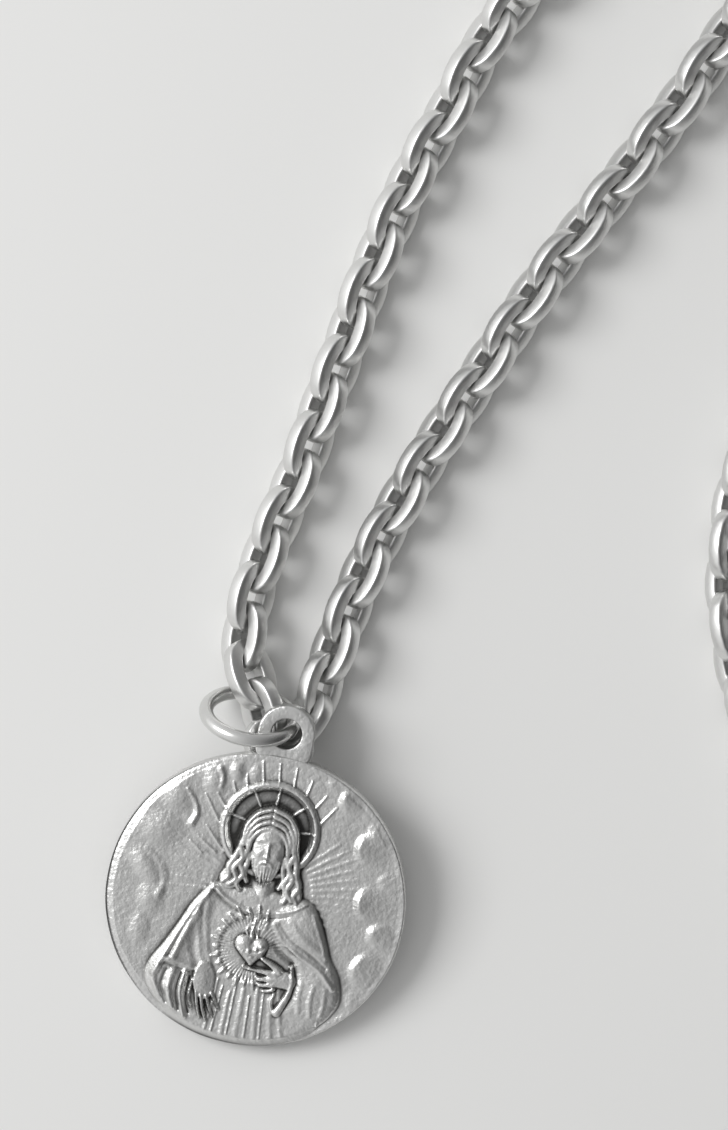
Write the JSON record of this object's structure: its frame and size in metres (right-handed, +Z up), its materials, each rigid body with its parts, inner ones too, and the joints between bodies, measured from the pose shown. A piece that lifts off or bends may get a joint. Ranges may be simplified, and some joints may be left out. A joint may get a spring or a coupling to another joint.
{
  "type": "sacred heart pendant",
  "caption": "Round silver devotional medal with a half-length figure in relief, on a jump ring and a cable-link neck chain with a lobster clasp.",
  "frame": {"origin": "centre of the medal's back face", "axes": "+Z up from the table, +Y from the medal towards its hanging eye, +X to the wearer's left across the medal"},
  "size_m": [0.1042, 0.1192, 0.0062],
  "materials": {
    "medal": "satin cast silver with dark tarnish in its hollows",
    "chain": "silver, flat faces lightly brushed, dark between the links",
    "rings": "polished silver wire, lightly worn",
    "spring": "spring steel"
  },
  "bodies": {
    "root": {"medal": "medal", "jump_ring": "rings", "ring_link_1": "chain", "ring_link_2": "chain", "ring_link_3": "chain", "ring_link_4": "chain", "ring_link_5": "chain", "left_link_1": "chain", "left_link_2": "chain", "left_link_3": "chain", "left_link_4": "chain", "left_link_5": "chain", "left_link_6": "chain", "left_link_7": "chain", "left_link_8": "chain", "left_link_9": "chain", "left_link_10": "chain", "left_link_11": "chain", "left_link_12": "chain", "left_link_13": "chain", "left_link_14": "chain", "left_link_15": "chain", "left_link_16": "chain", "left_link_17": "chain", "left_link_18": "chain", "left_link_19": "chain", "right_link_1": "chain", "right_link_2": "chain", "right_link_3": "chain", "right_link_4": "chain", "right_link_5": "chain", "right_link_6": "chain", "right_link_7": "chain", "right_link_8": "chain", "right_link_9": "chain", "right_link_10": "chain", "right_link_11": "chain", "right_link_12": "chain", "right_link_13": "chain", "right_link_14": "chain", "right_link_15": "chain", "right_link_16": "chain", "right_link_17": "chain", "right_link_18": "chain", "right_link_19": "chain", "rear_chain_1": "chain", "rear_chain_2": "chain", "rear_chain_3": "chain", "rear_chain_4": "chain", "rear_chain_5": "chain", "rear_chain_6": "chain", "rear_chain_7": "chain", "rear_chain_8": "chain", "clasp_body": "rings", "clasp_pin": "rings", "clasp_spring": "spring", "clasp_ring": "rings", "catch_ring": "rings"},
    "lever": {"clasp_lever": "rings"}
  },
  "joints": [
    {"name": "clasp_lever_hinge", "type": "hinge", "parent": "root", "child": "lever", "pos_m": [0.0901, 0.02767, 0.0005], "axis": [0, 0, 1], "range_deg": [0, 15], "stiffness_Nm_per_rad": 0.0004, "springref_deg": -20.05}
  ]
}
